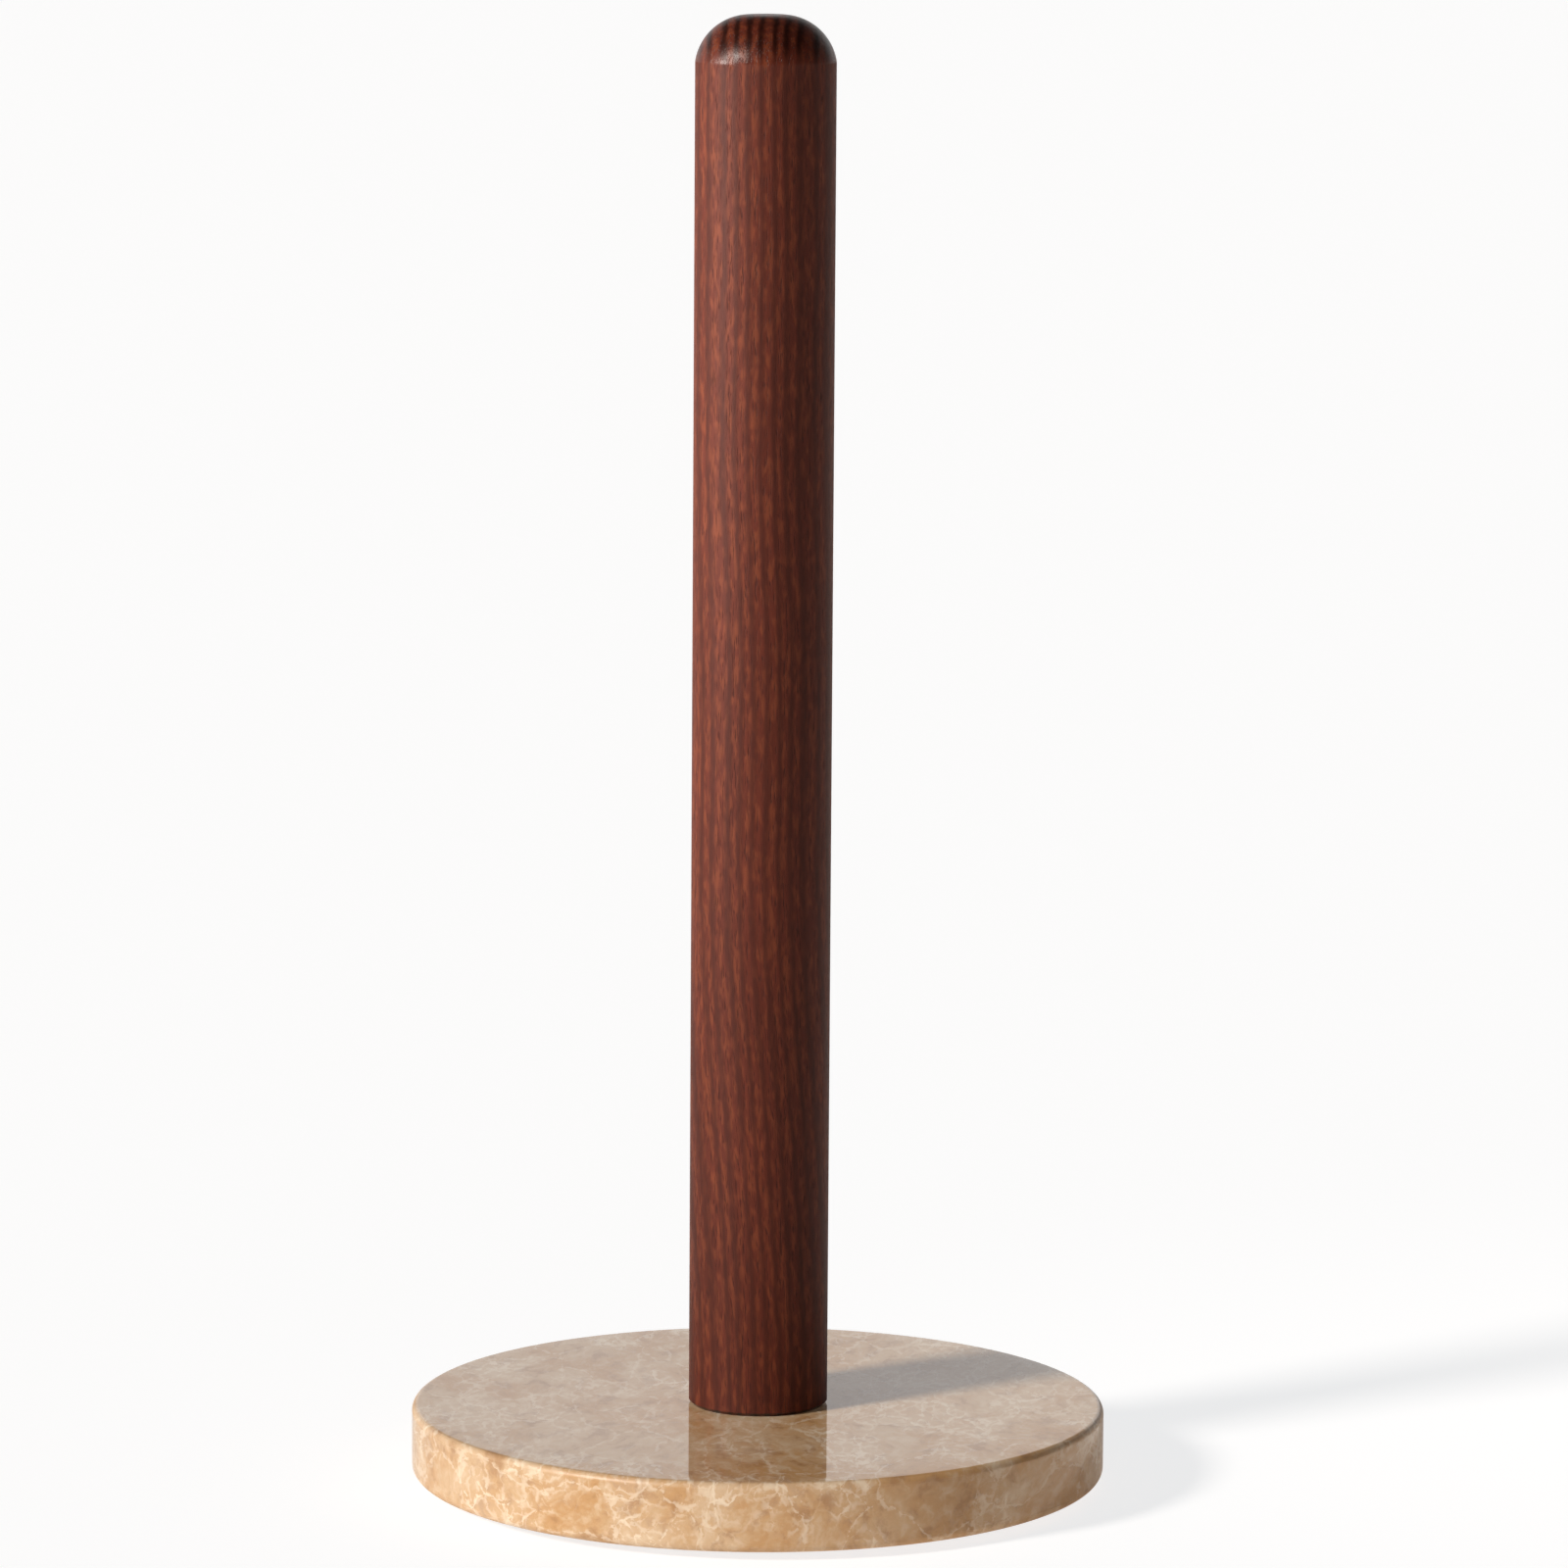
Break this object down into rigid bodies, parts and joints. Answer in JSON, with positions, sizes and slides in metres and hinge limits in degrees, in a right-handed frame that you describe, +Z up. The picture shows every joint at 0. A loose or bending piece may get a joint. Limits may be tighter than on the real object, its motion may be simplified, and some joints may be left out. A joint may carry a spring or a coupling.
{
  "type": "paper towel holder",
  "caption": "Countertop paper towel holder: a round polished stone base with an upright round-topped wooden post that a roll slides over.",
  "frame": {"origin": "on the table under the middle of the post, at the bottom of the foot pads", "axes": "+Z up along the post; +X and +Y lie in the table plane and are alike, because post and base are round, with the foot pads at 45 degrees between them"},
  "size_m": [0.15, 0.15, 0.317],
  "materials": {
    "stone": "polished beige-brown marble with cream veins",
    "wood": "reddish-brown stained open-grain wood, satin varnish",
    "insert": "machined",
    "fasteners": "zinc plated",
    "pads": "matt"
  },
  "bodies": {
    "root": {"base_slab": "stone", "post": "wood", "threaded_insert": "insert", "flat_washer": "fasteners", "spring_washer": "fasteners", "clamp_bolt": "fasteners", "foot_pad_1": "pads", "foot_pad_2": "pads", "foot_pad_3": "pads", "foot_pad_4": "pads"}
  },
  "joints": []
}
